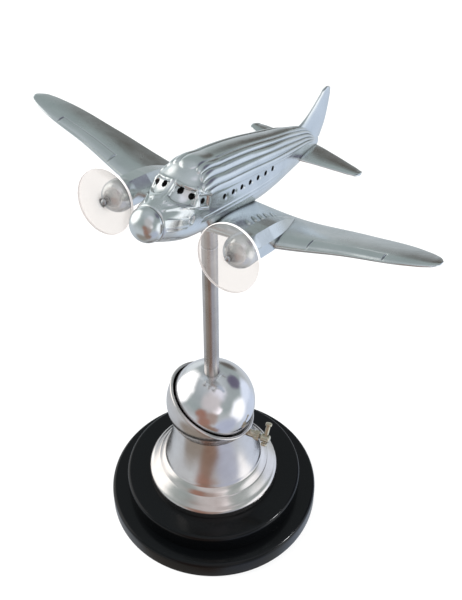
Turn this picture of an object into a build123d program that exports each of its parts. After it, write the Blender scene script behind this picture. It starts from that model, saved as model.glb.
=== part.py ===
from build123d import *
import math
import os

# Desk model of a twin-propeller airliner on a ball-joint stand. Millimetres, +Z up.
# The origin is the centre of the base's underside. The nose points towards -Y,
# and the port wing points towards +X.

# ---- driving dimensions: base and pedestal ----
base_radius = 75.0
base_height = 15.0
felt_thickness = 1.0
felt_inset = 4.0
base_top_round = 3.0
base_bottom_round = 1.5
step_radius = 63.0
step_height = 15.0
step_round = 3.0
flange_radius = 46.4
flange_edge = 6.0
bell_foot_z = base_height + step_height
bell_wall = 1.2
rod_radius = 2.5
rod_clearance = 0.25
running_gap = 0.05

# ---- driving dimensions: ball joint ----
ball_radius = 29.35
ball_wall = 2.0
ball_z = 103.6
cup_inner_radius = 30.3
cup_outer_radius = 31.5
lip_radius = 1.1
cup_lean = 29.0
cup_heading = 33.0
slot_half_angle = 43.0
slot_width = 5.2
clamp_z = 84.0
clamp_heading = 8.5

# ---- driving dimensions: post and mounting ----
post_radius = 5.0
post_joint_z = 244.0
mount_z = 261.6
nose_up = 15.0

# ---- driving dimensions: aircraft, in its own axes (x forward, y port, z up) ----
half_span = 139.0
nacelle_y = 42.0
nacelle_z = 12.0
nacelle_radius = 9.6
nacelle_nose_x = 43.4
disc_radius = 19.7
disc_thickness = 1.6
disc_bore_radius = 1.25
pin_radius = 1.2
pin_head_radius = 1.9
hub_washer_radius = 2.2
skin = 2.2
window_first_x = 15.5
window_pitch = 9.03
window_count = 7
window_radius = 1.65
window_z = 28.4
cockpit_side_window = (35.2, 31.5)
windscreen_holes = [(43.0, 5.2, 36.2), (41.0, 10.8, 34.5)]
windscreen_lean = 65.0

# Fuselage stations: x, half width, lowest z, highest z, roundness exponent (2 is an ellipse).
fuselage_stations = [
    (-121.0, 1.3, 15.5, 22.0, 2.0),
    (-97.0, 5.5, 10.0, 34.0, 2.1),
    (-79.0, 8.8, 8.2, 38.0, 2.3),
    (-60.0, 12.0, 6.6, 41.4, 2.5),
    (-41.0, 14.4, 5.2, 44.2, 2.6),
    (-12.0, 16.0, 4.6, 47.5, 2.6),
    (12.0, 16.3, 4.5, 48.6, 2.6),
    (31.0, 16.2, 4.6, 48.2, 2.6),
    (39.0, 15.6, 5.2, 43.4, 2.5),
    (46.0, 14.4, 6.4, 36.6, 2.3),
    (54.0, 12.8, 8.4, 33.2, 2.1),
    (62.0, 10.15, 10.75, 31.05, 2.0),
]
cavity_range = (-60.0, 46.0)
slice_length = 6.0
nose_cap_length = 9.4
nose_cap_z = 20.9

# Wing stations: y, leading edge x, trailing edge x, mid z, thickness.
wing_stations = [
    (0.0, 19.0, -33.0, 6.3, 12.6),
    (46.0, 14.4, -28.5, 10.2, 8.4),
    (90.0, 9.0, -22.6, 20.6, 5.6),
    (125.0, 7.0, -15.4, 29.0, 3.4),
    (136.0, 3.2, -10.0, 31.4, 1.9),
    (half_span, -0.5, -6.0, 32.0, 0.8),
]

os.makedirs("parts", exist_ok=True)


def save(shape, name):
    """Write one node of the assembly."""
    export_step(shape, "parts/" + name + ".step")


def ring(outer, inner, low, high):
    """A plain tube about Z, from height low to height high."""
    tube = Cylinder(outer, high - low) - Cylinder(inner, high - low)
    return Pos(0, 0, (low + high) / 2) * tube


def rod(radius, low, high):
    """A plain cylinder about Z, from height low to height high."""
    return Pos(0, 0, (low + high) / 2) * Cylinder(radius, high - low)


def shell(outer, inner):
    """A hollow sphere about the ball's centre."""
    return Pos(0, 0, ball_z) * (Sphere(outer) - Sphere(inner))


# ---- base ----
lower_disc = rod(base_radius, felt_thickness, base_height)
lower_disc = fillet(lower_disc.edges().group_by(Axis.Z)[-1], base_top_round)
lower_disc = fillet(lower_disc.edges().group_by(Axis.Z)[0], base_bottom_round)
counterbore_radius = 15.0
counterbore_top = 9.0
lower_disc -= rod(counterbore_radius, felt_thickness, counterbore_top)
lower_disc -= rod(rod_radius + rod_clearance, felt_thickness, base_height)

upper_disc = rod(step_radius, base_height, bell_foot_z)
upper_disc = fillet(upper_disc.edges().group_by(Axis.Z)[-1], step_round)
upper_disc -= rod(rod_radius + rod_clearance, base_height, bell_foot_z)

save(rod(base_radius - felt_inset, 0.0, felt_thickness), "felt_pad")
save(lower_disc, "base_lower")
save(upper_disc, "base_upper")

# ---- pedestal bell: rounded edge, shoulder, two fine steps, then a concave flare up to the cup ----
edge_z = bell_foot_z + flange_edge
crease_radius = 34.5
crease_z = 50.0
neck_radius = 28.5
neck_z = 83.0
bell_top_radius = 30.2
bell_top_z = 93.5


def bell_outline(inset):
    """The bell's outline as (radius, height), moved inwards by inset and stood up in the XZ plane."""
    foot = (flange_radius - inset, bell_foot_z)
    edge = (flange_radius - inset, edge_z - inset)
    shoulder = (flange_radius - 2.4 - inset, edge_z + 2.4 - inset)
    outer_step = (38.6 - inset, 44.6 - inset)
    inner_step = (38.0 - inset, 45.4 - inset)
    crease = (crease_radius - inset, crease_z - inset)
    neck = (neck_radius - inset, neck_z)
    top = (bell_top_radius - inset, bell_top_z)
    flare_middle = (30.1 - inset, 66.0)
    lines = [
        Line(foot, edge),
        RadiusArc(edge, shoulder, -3.0),
        RadiusArc(shoulder, outer_step, -22.0),
        Line(outer_step, inner_step),
        RadiusArc(inner_step, crease, -12.0),
        Spline(crease, flare_middle, neck, top),
        Line(top, (0, bell_top_z)),
        Line((0, bell_top_z), (0, bell_foot_z)),
        Line((0, bell_foot_z), foot),
    ]
    return Plane.XZ * make_face(lines)


clamp_axis = Pos(0, 0, clamp_z) * Rot(0, 0, clamp_heading) * Rot(0, 90, 0)
bush_radius = 2.7
bush_inner_end = 26.6
bush_outer_end = 36.2
bush_flange_start = 32.4
bush_flange_radius = 3.5

bell = revolve(bell_outline(0.0), Axis.Z) - revolve(bell_outline(bell_wall), Axis.Z)
bell -= Pos(0, 0, ball_z) * Sphere(cup_outer_radius)
bell -= clamp_axis * rod(bush_radius, 20.0, 40.0)
save(bell, "pedestal_bell")

# ---- cup: a spherical bowl whose rim plane leans, with a rolled lip ----
cup_axis = Pos(0, 0, ball_z) * Rot(0, 0, cup_heading) * Rot(0, cup_lean, 0)
lip_ring_radius = cup_outer_radius + 0.4
above_rim = cup_axis * Pos(0, 0, 50.0) * Box(120.0, 120.0, 100.0)
lip = cup_axis * Torus(lip_ring_radius, lip_radius)
bowl = shell(cup_outer_radius, cup_inner_radius) - above_rim
cup = bowl + (lip - Pos(0, 0, ball_z) * Sphere(cup_inner_radius))
cup -= rod(rod_radius + running_gap, 60.0, 80.0)
pad_radius = 2.0
cup -= clamp_axis * rod(pad_radius + 0.4, 15.0, 30.0)
save(cup, "socket_cup")

# ---- parts on the centre line ----
seat_z = ball_z - cup_outer_radius
spacer_radius = 6.0
spacer = ring(spacer_radius, rod_radius + 0.1, bell_foot_z, seat_z + 1.0)
spacer -= Pos(0, 0, ball_z) * Sphere(cup_outer_radius)
save(spacer, "spacer_tube")

friction_half_angle = 34.0
cone_height = ball_radius + 4.0
cone_radius = cone_height * math.tan(math.radians(friction_half_angle))
seat_cone = Pos(0, 0, ball_z - cone_height / 2) * Cone(cone_radius, 0.01, cone_height)
friction = shell(cup_inner_radius, ball_radius + running_gap) & seat_cone
friction -= rod(8.0, 60.0, 90.0)
save(friction, "friction_ring")

nut_bottom = 3.5
washer_top = counterbore_top
tie_washer_radius = 11.0
tie_washer_thickness = 1.5
washer_low = washer_top - tie_washer_thickness
save(ring(tie_washer_radius, rod_radius + 0.1, washer_low, washer_top), "tie_washer")


def hex_nut(low, high, across_flats):
    """A hexagonal nut on the tie rod."""
    blank = extrude(RegularPolygon(across_flats / 2, 6, major_radius=False), high - low)
    return Pos(0, 0, low) * blank - rod(rod_radius, low - 1.0, high + 1.0)


nut_across_flats = 8.0
save(hex_nut(nut_bottom, washer_low, nut_across_flats), "tie_nut")

saddle_top_z = ball_z - ball_radius + ball_wall + 3.0
spring_top_z = 88.0
nut_height = 4.0
rod_top_z = spring_top_z + nut_height + 1.0
save(rod(rod_radius, nut_bottom - 1.0, rod_top_z), "tie_rod")
save(hex_nut(spring_top_z, spring_top_z + nut_height, nut_across_flats), "keeper_nut")

wire_radius = 0.55
coil_radius = 3.9
coil_pitch = 2.05
coil_height = spring_top_z - saddle_top_z - 2 * wire_radius - 0.2
coil = Helix(coil_pitch, coil_height, coil_radius)
wire_plane = Plane(origin=coil @ 0, z_dir=coil % 0)
spring = sweep(wire_plane * Circle(wire_radius), path=coil, is_frenet=True)
save(Pos(0, 0, saddle_top_z + wire_radius + 0.1) * spring, "keeper_spring")

ball_inner_radius = ball_radius - ball_wall
saddle_radius = 9.0
saddle = Pos(0, 0, ball_z) * Sphere(ball_inner_radius - running_gap)
saddle &= rod(saddle_radius, 70.0, saddle_top_z)
rib_width = slot_width - 2 * running_gap
rib_length = 11.0
rib = Pos(0, 0, 75.0) * Box(rib_length, rib_width, 8.0)
rib &= Pos(0, 0, ball_z) * Sphere(ball_radius - 0.2)
saddle = saddle + rib
saddle -= rod(rod_radius + running_gap, 60.0, 90.0)
save(saddle, "keeper_saddle")

# ---- ball with its slot, and the post ----
boss_radius = 8.0
boss_bottom = ball_z + 18.0
ball = shell(ball_radius, ball_inner_radius)
boss = rod(boss_radius, boss_bottom, ball_z + ball_radius)
ball += boss & (Pos(0, 0, ball_z) * Sphere(ball_radius))
slot_reach = 2 * ball_radius
wedge_x = slot_reach * math.sin(math.radians(slot_half_angle))
wedge_z = slot_reach * math.cos(math.radians(slot_half_angle))
wedge = Polyline((0, ball_z), (-wedge_x, ball_z - wedge_z), (wedge_x, ball_z - wedge_z), close=True)
slot = extrude(Plane.XZ * make_face(wedge), slot_width / 2, both=True)
slot &= shell(ball_radius + 5.0, ball_inner_radius - 5.0)
ball -= slot
ball -= rod(post_radius, boss_bottom - 1.0, ball_z + ball_radius + 1.0)
save(ball, "ball")

stud_radius = 2.5
stud_bottom = 226.0
post = rod(post_radius, boss_bottom, post_joint_z)
post = chamfer(post.edges().group_by(Axis.Z)[-1], 0.4)
post -= rod(stud_radius + running_gap, stud_bottom - 1.0, post_joint_z + 1.0)
save(post, "post")
pivot_washer_radius = 5.2
washer_height = 0.8
washer_bottom = post_joint_z + running_gap
save(ring(pivot_washer_radius, stud_radius, washer_bottom, washer_bottom + washer_height), "pivot_washer")

# ---- clamp screw at the side of the bell's neck ----
pad_back = 27.4
pad_front = 18.0
screw_radius = 1.5
screw_tip = 26.2
head_start = 37.4
head_end = 43.6
head_radius = 2.8
bar_distance = 40.4
bar_radius = 1.5
bar_half_length = 7.2
bar_offset = -3.0
bar_lean = 31.0

bush = rod(bush_radius, bush_inner_end, bush_outer_end)
knurl_count = 12
knurl_radius = 0.55
flange = rod(bush_flange_radius, bush_flange_start, bush_outer_end)
for step in range(knurl_count):
    turn = 360.0 * step / knurl_count
    flange -= Rot(0, 0, turn) * Pos(bush_flange_radius + 0.25, 0, 0) * rod(knurl_radius, 20.0, 40.0)
bush += flange
bush -= rod(pad_radius + running_gap, 20.0, pad_back + 1.6)
bush -= rod(screw_radius + running_gap, 20.0, 40.0)
save(clamp_axis * bush, "clamp_bush")

pad = clamp_axis * rod(pad_radius, pad_front, pad_back)
pad -= Pos(0, 0, ball_z) * Sphere(ball_radius + running_gap)
pad -= clamp_axis * rod(screw_radius + running_gap, screw_tip - running_gap, 30.0)
save(pad, "clamp_pad")

screw = rod(screw_radius, screw_tip, head_start + 1.0)
screw += rod(head_radius, head_start, head_end - 0.8)
screw += rod(head_radius - 0.7, head_start, head_end)
bar_frame = Pos(0, 0, bar_distance) * Rot(0, 0, 90.0 - bar_lean) * Rot(90, 0, 0)
screw -= bar_frame * Cylinder(bar_radius + running_gap, 20.0)
save(clamp_axis * screw, "clamp_screw")

bar_frame = bar_frame * Pos(0, 0, bar_offset)
bar = bar_frame * Cylinder(bar_radius, 2 * bar_half_length)
cap_height = 2.0
cap_radius = 2.3
save(clamp_axis * bar, "tommy_bar")
caps = []
for side in (-1, 1):
    cap = Pos(0, 0, side * (bar_half_length + 0.2)) * Cylinder(cap_radius, cap_height)
    cap = fillet(cap.edges(), 0.5)
    cap -= Cylinder(bar_radius, 2 * bar_half_length)
    caps.append(clamp_axis * bar_frame * cap)
save(Compound(children=caps), "bar_end_caps")

# ---- aircraft frame: x forward, y port, z up, tipped nose-up on the post ----
nose_cos = math.cos(math.radians(nose_up))
nose_sin = math.sin(math.radians(nose_up))
aircraft = Plane(origin=(0, 0, mount_z), x_dir=(0, -nose_cos, nose_sin), z_dir=(0, nose_sin, nose_cos))
post_line = Rot(0, nose_up, 0)


def place(shape):
    """Move a shape from the aircraft's axes to the model's frame."""
    return aircraft.location * shape


def superellipse(x, half_width, low, high, power):
    """A closed fuselage section across the x axis."""
    middle = (low + high) / 2
    half_height = (high - low) / 2
    points = []
    count = 24
    for step in range(count):
        angle = 2 * math.pi * step / count
        c = math.cos(angle)
        s = math.sin(angle)
        y = half_width * math.copysign(abs(c) ** (2 / power), c)
        z = half_height * math.copysign(abs(s) ** (2 / power), s)
        points.append((x, y, middle + z))
    return make_face(Spline(*points, periodic=True))


def station_slope(index, column):
    """How fast one column of the fuselage stations changes along x at a station."""
    before = fuselage_stations[max(index - 1, 0)]
    after = fuselage_stations[min(index + 1, len(fuselage_stations) - 1)]
    return (after[column] - before[column]) / (after[0] - before[0])


def station_at(x):
    """Half width, lowest z, highest z and exponent at any x, on a smooth curve through the stations."""
    index = 0
    while index < len(fuselage_stations) - 2 and x > fuselage_stations[index + 1][0]:
        index += 1
    start = fuselage_stations[index]
    end = fuselage_stations[index + 1]
    length = end[0] - start[0]
    t = (x - start[0]) / length
    values = []
    for column in range(1, 5):
        rise_start = station_slope(index, column) * length
        rise_end = station_slope(index + 1, column) * length
        value = start[column] * (2 * t ** 3 - 3 * t ** 2 + 1) + rise_start * (t ** 3 - 2 * t ** 2 + t)
        value += end[column] * (3 * t ** 2 - 2 * t ** 3) + rise_end * (t ** 3 - t ** 2)
        values.append(value)
    return values


def fuselage_loft(inset, first, last):
    """The fuselage from first to last x in even slices, with every section drawn in by inset."""
    slices = round((last - first) / slice_length)
    sections = []
    for step in range(slices + 1):
        x = first + (last - first) * step / slices
        half_width, low, high, power = station_at(x)
        sections.append(superellipse(x, half_width - inset, low + inset, high - inset, power))
    return loft(sections, ruled=True)


def airfoil(y, lead, trail, middle, thickness):
    """A symmetric wing section across the y axis."""
    chord = lead - trail
    upper = []
    lower = []
    for fraction in (0.0, 0.02, 0.08, 0.2, 0.38, 0.6, 0.82, 1.0):
        root = math.sqrt(fraction)
        shape = 0.2969 * root - 0.126 * fraction - 0.3516 * fraction ** 2
        shape += 0.2843 * fraction ** 3 - 0.1015 * fraction ** 4
        height = thickness * (5.0 * shape + 0.04 * fraction)
        x = lead - chord * fraction
        upper.append((x, y, middle + height))
        lower.append((x, y, middle - height))
    lines = [Spline(*upper), Line(upper[-1], lower[-1]), Spline(*reversed(lower))]
    return make_face(lines)


# ---- wing with both nacelles ----
port_sections = [airfoil(*station) for station in wing_stations]
half_wing = loft(port_sections, ruled=True)
wing = half_wing + mirror(half_wing, Plane.XZ)

nacelle_tail_x = -24.0
nacelle_dome_x = nacelle_nose_x - nacelle_radius
dome_bend = nacelle_radius * math.sqrt(0.5)
dome_start = (nacelle_nose_x, 0)
dome_middle = (nacelle_dome_x + dome_bend, dome_bend)
dome_end = (nacelle_dome_x, nacelle_radius)
body_end = (14.0, nacelle_radius)
nacelle_lines = [
    ThreePointArc(dome_start, dome_middle, dome_end),
    Line(dome_end, body_end),
    Spline(body_end, (-8.0, 5.9), (nacelle_tail_x, 0), tangents=[(-1, 0), (-1, -0.25)]),
    Line((nacelle_tail_x, 0), dome_start),
]
nacelle = revolve(make_face(nacelle_lines), Axis.X)
for side in (-1, 1):
    wing += Pos(0, side * nacelle_y, nacelle_z) * nacelle
    pin_place = Pos(nacelle_nose_x - 6.0, side * nacelle_y, nacelle_z) * Rot(0, 90, 0)
    wing -= pin_place * Cylinder(pin_radius, 14.0)

wing_screw_radius = 1.5
wing_screw_head_radius = 2.8
wing_screw_places = [-20.0, 13.0]
wing_solid = wing
wing -= post_line * rod(stud_radius, -10.0, 40.0)
screws = []
for x in wing_screw_places:
    wing -= Pos(x, 0, 0) * rod(wing_screw_radius, -10.0, 30.0)
    wing -= Pos(x, 0, 0) * rod(wing_screw_head_radius + 0.2, -10.0, 3.5)
    screw_body = rod(wing_screw_radius, 3.0, 16.0) + rod(wing_screw_head_radius, 1.9, 3.4)
    screws.append(place(Pos(x, 0, 0) * screw_body))
save(place(wing), "wing")
save(Compound(children=screws), "wing_screws")

# ---- fuselage ----
fuselage = fuselage_loft(0.0, fuselage_stations[0][0], fuselage_stations[-1][0])
cavity = fuselage_loft(skin, *cavity_range)
post_boss = post_line * rod(6.0, 4.0, 60.0)
screw_bosses = [Pos(x, 0, 0) * rod(3.5, 4.0, 60.0) for x in wing_screw_places]
fuselage -= cavity
for block in [post_boss] + screw_bosses:
    fuselage += block & cavity
fuselage -= wing_solid
under_wing_length = wing_stations[0][1] - wing_stations[0][2]
under_wing_x = (wing_stations[0][1] + wing_stations[0][2]) / 2
fuselage -= Pos(under_wing_x, 0, 0) * Box(under_wing_length, 60.0, 2 * wing_stations[0][3])
fuselage -= post_line * rod(stud_radius, -10.0, 29.0)
for x in wing_screw_places:
    fuselage -= Pos(x, 0, 0) * rod(wing_screw_radius, -10.0, 16.5)
across = Rot(90, 0, 0)
for index in range(window_count):
    x = window_first_x - window_pitch * index
    fuselage -= Pos(x, 0, window_z) * across * Cylinder(window_radius, 60.0)
fuselage -= Pos(cockpit_side_window[0], 0, cockpit_side_window[1]) * across * Cylinder(window_radius, 60.0)
windscreen_drill = Rot(0, windscreen_lean, 0) * Pos(0, 0, -1.0) * Cylinder(window_radius, 8.0)
for side in (-1, 1):
    for x, y, z in windscreen_holes:
        fuselage -= Pos(x, side * y, z) * windscreen_drill
spigot_radius = 6.0
spigot_length = 4.0
spigot_place = Pos(fuselage_stations[-1][0] - spigot_length / 2, 0, nose_cap_z) * Rot(0, 90, 0)
fuselage -= spigot_place * Cylinder(spigot_radius, spigot_length)

# ---- fin, tailplane and their screw ----
fin_outline = [
    (-86.0, 24.0),
    (-86.0, 35.0),
    (-98.0, 38.5),
    (-107.0, 46.5),
    (-115.0, 55.5),
    (-119.5, 58.0),
    (-123.5, 57.4),
    (-126.2, 53.0),
    (-127.4, 38.0),
    (-126.0, 24.0),
]
fin_half_thickness = 1.7
fin_face = Plane.XZ * make_face(Polyline(*fin_outline, close=True))
fin = extrude(fin_face, fin_half_thickness, both=True)
fin_blank = fin
fin_bevel = 0.9
fin_faces = fin.faces().sort_by(Axis.Y)
fin = chamfer(fin_faces[0].edges() + fin_faces[-1].edges(), fin_bevel)
tail_edge_outline = [
    (-89.0, 0.0),
    (-90.0, 6.0),
    (-100.0, 37.0),
    (-104.0, 41.0),
    (-109.0, 41.6),
    (-113.0, 38.0),
    (-119.0, 8.0),
    (-120.0, 0.0),
]
outline_both = tail_edge_outline + [(x, -y) for x, y in reversed(tail_edge_outline[1:-1])]
tail_z = 16.5
tail_out_of_level = 4.0
tail_half_thickness = 1.6
tail_blank_flat = extrude(make_face(Polyline(*outline_both, close=True)), tail_half_thickness, both=True)
tail_faces = tail_blank_flat.faces().sort_by(Axis.Z)
flat_edges = tail_faces[0].edges() + tail_faces[-1].edges()
tail_place = Pos(0, 0, tail_z) * Rot(-tail_out_of_level, 0, 0)
tailplane_blank = tail_place * tail_blank_flat
tailplane = tail_place * chamfer(flat_edges, fin_bevel)
tail_screw_x = -104.0
tail_screw_radius = 1.25
tail_screw_head_radius = 2.3
tail_screw_hole = Pos(tail_screw_x, 0, 0) * rod(tail_screw_radius, 0.0, 34.0)
tail_screw_seat = Pos(tail_screw_x, 0, 0) * rod(tail_screw_head_radius + 0.1, 0.0, 12.6)
tailplane -= tail_screw_hole
fin -= tail_screw_hole
fuselage -= tailplane_blank
fuselage -= fin_blank
fuselage -= tail_screw_hole
fuselage -= tail_screw_seat
tail_screw = rod(tail_screw_radius, 11.5, 33.0) + rod(tail_screw_head_radius, 11.2, 12.6)
tail_screw = Pos(tail_screw_x, 0, 0) * tail_screw
save(place(fin), "fin")
save(place(tailplane), "tailplane")
save(place(tail_screw), "tail_screw")
save(place(fuselage), "fuselage")

# ---- nose cap ----
cap_base = fuselage_stations[-1][0]
cap_section_radius = fuselage_stations[-1][1]
cap_arc = EllipticalCenterArc((0, 0), nose_cap_length, cap_section_radius, 0.0, arc_size=90.0)
cap_face = make_face([cap_arc, Line((0, cap_section_radius), (0, 0)), Line((0, 0), (nose_cap_length, 0))])
nose_dome = revolve(cap_face, Axis.X)
nose_cap = Pos(cap_base, 0, nose_cap_z) * nose_dome
nose_cap += spigot_place * Cylinder(spigot_radius, spigot_length)
save(place(nose_cap), "nose_cap")

# ---- sleeve and stud under the wing ----
sleeve_bottom = washer_bottom + washer_height
sleeve = ring(post_radius, stud_radius, sleeve_bottom, mount_z + 14.0)
sleeve -= place(wing_solid)
sleeve = sleeve.solids().sort_by(Axis.Z)[0]
save(sleeve, "post_sleeve")
save(rod(stud_radius, stud_bottom, mount_z + 28.0), "mount_stud")

# ---- propeller discs, washers and pins ----
disc_x = 45.4
disc_back = disc_x - disc_thickness / 2
disc_front = disc_x + disc_thickness / 2
hub_washers = []
hub_pins = []
for side, name in ((1, "port"), (-1, "starboard")):
    hub = Pos(0, side * nacelle_y, nacelle_z) * Rot(0, 90, 0)
    disc = hub * ring(disc_radius, disc_bore_radius, disc_back, disc_front)
    save(place(disc), "propeller_disc_" + name)
    washer = ring(hub_washer_radius, pin_radius, nacelle_nose_x, disc_back - running_gap)
    washer = hub * washer - Pos(0, side * nacelle_y, nacelle_z) * nacelle
    hub_washers.append(place(washer))
    pin = rod(pin_radius, nacelle_nose_x - 7.0, disc_front + 1.0)
    head = Pos(0, 0, disc_front + running_gap) * (Sphere(pin_head_radius) & rod(3.0, 0.0, 3.0))
    hub_pins.append(place(hub * (pin + head)))
save(Compound(children=hub_washers), "hub_washers")
save(Compound(children=hub_pins), "hub_pins")
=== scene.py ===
"""Looks for the twin-propeller desk model: meshes, materials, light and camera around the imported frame."""
import math

import bmesh
import bpy
import numpy as np
from mathutils import Matrix, Vector


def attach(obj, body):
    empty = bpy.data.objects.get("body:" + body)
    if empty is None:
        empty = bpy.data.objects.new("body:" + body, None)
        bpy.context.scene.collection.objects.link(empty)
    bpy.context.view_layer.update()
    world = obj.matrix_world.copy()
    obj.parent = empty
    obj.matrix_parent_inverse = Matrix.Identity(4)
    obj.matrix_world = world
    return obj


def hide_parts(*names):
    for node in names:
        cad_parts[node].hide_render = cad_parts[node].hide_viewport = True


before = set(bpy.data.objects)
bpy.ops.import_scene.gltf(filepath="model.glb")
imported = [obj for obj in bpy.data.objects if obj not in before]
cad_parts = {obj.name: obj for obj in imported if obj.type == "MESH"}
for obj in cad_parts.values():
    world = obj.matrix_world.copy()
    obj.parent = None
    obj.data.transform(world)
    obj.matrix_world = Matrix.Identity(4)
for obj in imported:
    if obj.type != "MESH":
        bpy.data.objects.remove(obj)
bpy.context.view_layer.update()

MM = 0.001

# ---- sizes in millimetres, the same as the CAD's ----
BALL_Z = 103.6
BALL_RADIUS = 29.35
BALL_WALL = 2.0
POST_RADIUS = 5.0
CUP_INNER = 30.3
CUP_OUTER = 31.5
CUP_LEAN = 29.0
CUP_HEADING = 33.0
SLOT_HALF_ANGLE = 43.0
SLOT_WIDTH = 5.2
CLAMP_Z = 84.0
CLAMP_HEADING = 8.5
MOUNT_Z = 261.6
NOSE_UP = 15.0
POST_JOINT_Z = 244.0
HALF_SPAN = 139.0
NACELLE_Y = 42.0
NACELLE_Z = 12.0
NACELLE_RADIUS = 9.6
NACELLE_NOSE = 43.4
NACELLE_TAIL = -24.0
DISC_X = 45.4
DISC_RADIUS = 19.7
DISC_THICKNESS = 1.6
SEAM_X = 62.0
NOSE_LENGTH = 9.4
NOSE_Z = 20.9
TAIL_OUT_OF_LEVEL = 4.0

# Fuselage stations: x, half width, lowest z, highest z, roundness exponent.
FUSELAGE = [
    (-121.0, 1.3, 15.5, 22.0, 2.0),
    (-97.0, 5.5, 10.0, 34.0, 2.1),
    (-79.0, 8.8, 8.2, 38.0, 2.3),
    (-60.0, 12.0, 6.6, 41.4, 2.5),
    (-41.0, 14.4, 5.2, 44.2, 2.6),
    (-12.0, 16.0, 4.6, 47.5, 2.6),
    (12.0, 16.3, 4.5, 48.6, 2.6),
    (31.0, 16.2, 4.6, 48.2, 2.6),
    (39.0, 15.6, 5.2, 43.4, 2.5),
    (46.0, 14.4, 6.4, 36.6, 2.3),
    (54.0, 12.8, 8.4, 33.2, 2.1),
    (62.0, 10.15, 10.75, 31.05, 2.0),
]

# Wing stations: y, leading edge x, trailing edge x, mid z, thickness.
WING = [
    (0.0, 19.0, -33.0, 6.3, 12.6),
    (46.0, 14.4, -28.5, 10.2, 8.4),
    (90.0, 9.0, -22.6, 20.6, 5.6),
    (125.0, 7.0, -15.4, 29.0, 3.4),
    (133.0, 4.6, -12.2, 30.7, 2.5),
    (137.0, 2.2, -9.2, 31.6, 1.8),
    (HALF_SPAN, -1.0, -6.0, 32.0, 1.0),
]


# ---- frames ----

def aircraft_matrix():
    """The aircraft's axes (x forward, y port, z up) in the model's frame."""
    c = math.cos(math.radians(NOSE_UP))
    s = math.sin(math.radians(NOSE_UP))
    return Matrix(((0, 1, 0, 0), (-c, 0, s, 0), (s, 0, c, MOUNT_Z), (0, 0, 0, 1)))


def turned(origin, *turns):
    """A frame at origin, turned about its own axes in order; each turn is (axis letter, degrees)."""
    matrix = Matrix.Translation(Vector(origin))
    for axis, degrees in turns:
        matrix = matrix @ Matrix.Rotation(math.radians(degrees), 4, axis)
    return matrix


AIRCRAFT = aircraft_matrix()
WORLD = Matrix.Identity(4)
CUP_FRAME = turned((0, 0, BALL_Z), ("Z", CUP_HEADING), ("Y", CUP_LEAN))
CLAMP_FRAME = turned((0, 0, CLAMP_Z), ("Z", CLAMP_HEADING), ("Y", 90.0))


# ---- mesh helpers ----

def new_object(name, data):
    """An object linked into the scene."""
    made = bpy.data.objects.new(name, data)
    bpy.context.scene.collection.objects.link(made)
    return made


def make_piece(name, points, faces, materials, body, replaced=(), slot=None,
               place=WORLD, sharp=38.0, slots=None):
    """One closed mesh in millimetres, placed in the model's frame and riding on a body."""
    mesh = bpy.data.meshes.new(name)
    points, faces = moved((points, faces), Matrix.Scale(MM, 4) @ place)
    mesh.from_pydata(points, [], faces)
    mesh.update()
    piece = new_object(name, mesh)
    for material in materials:
        mesh.materials.append(material)
    shape = bmesh.new()
    shape.from_mesh(mesh)
    bmesh.ops.recalc_face_normals(shape, faces=shape.faces[:])
    limit = math.radians(sharp)
    for edge in shape.edges:
        edge.smooth = len(edge.link_faces) != 2 or edge.calc_face_angle(0.0) < limit
    for face in shape.faces:
        face.smooth = True
    shape.to_mesh(mesh)
    shape.free()
    if slots is not None:
        mesh.polygons.foreach_set("material_index", slots)
    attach(piece, body)
    if replaced:
        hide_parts(*replaced)
    return piece


def merge(*parts):
    """Join (points, faces) lists into one."""
    points = []
    faces = []
    for part_points, part_faces in parts:
        shift = len(points)
        points.extend([tuple(p) for p in part_points])
        faces.extend([tuple(i + shift for i in face) for face in part_faces])
    return points, faces


def moved(part, matrix):
    """A (points, faces) list moved by a matrix."""
    points, faces = part
    rows = np.array(matrix, float)
    cloud = np.asarray(points, float) @ rows[:3, :3].T + rows[:3, 3]
    return cloud.tolist(), faces


def rounded(points, closed, steps=5):
    """An outline of (radius, height, corner radius) points with every corner turned into a small arc."""
    count = len(points)
    out = []
    for i, (x, y, corner) in enumerate(points):
        end = not closed and i in (0, count - 1)
        if end or corner <= 0:
            out.append((x, y))
            continue
        here = Vector((x, y))
        before = Vector(points[i - 1][:2]) - here
        after = Vector(points[(i + 1) % count][:2]) - here
        reach = min(corner, before.length * 0.49, after.length * 0.49)
        a = here + before.normalized() * reach
        b = here + after.normalized() * reach
        for k in range(steps + 1):
            t = k / steps
            p = a * (1 - t) ** 2 + here * (2 * t * (1 - t)) + b * t ** 2
            out.append((p.x, p.y))
    return out


def lathe(outline, closed=False, segments=160):
    """Turn an outline of (radius, height) about Z. An open outline starts and ends on the axis."""
    points = []
    faces = []
    rings = []
    for radius, height in outline:
        if radius < 1e-6 and not closed:
            rings.append([len(points)])
            points.append((0.0, 0.0, height))
            continue
        ring = []
        for k in range(segments):
            angle = 2 * math.pi * k / segments
            ring.append(len(points))
            points.append((radius * math.cos(angle), radius * math.sin(angle), height))
        rings.append(ring)
    pairs = list(zip(rings, rings[1:]))
    if closed:
        pairs.append((rings[-1], rings[0]))
    for low, high in pairs:
        for k in range(segments):
            n = (k + 1) % segments
            if len(low) == 1 and len(high) == 1:
                continue
            if len(low) == 1:
                faces.append((low[0], high[k], high[n]))
            elif len(high) == 1:
                faces.append((low[k], high[0], low[n]))
            else:
                faces.append((low[k], low[n], high[n], high[k]))
    return points, faces


def turned_piece(name, outline, closed, segments, material, body, node, slot, place=WORLD, steps=5):
    """A piece turned from an outline of (radius, height, corner radius)."""
    part = lathe(rounded(outline, closed, steps), closed, segments)
    make_piece(name, *part, [material], body, [node], slot, place)


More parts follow.
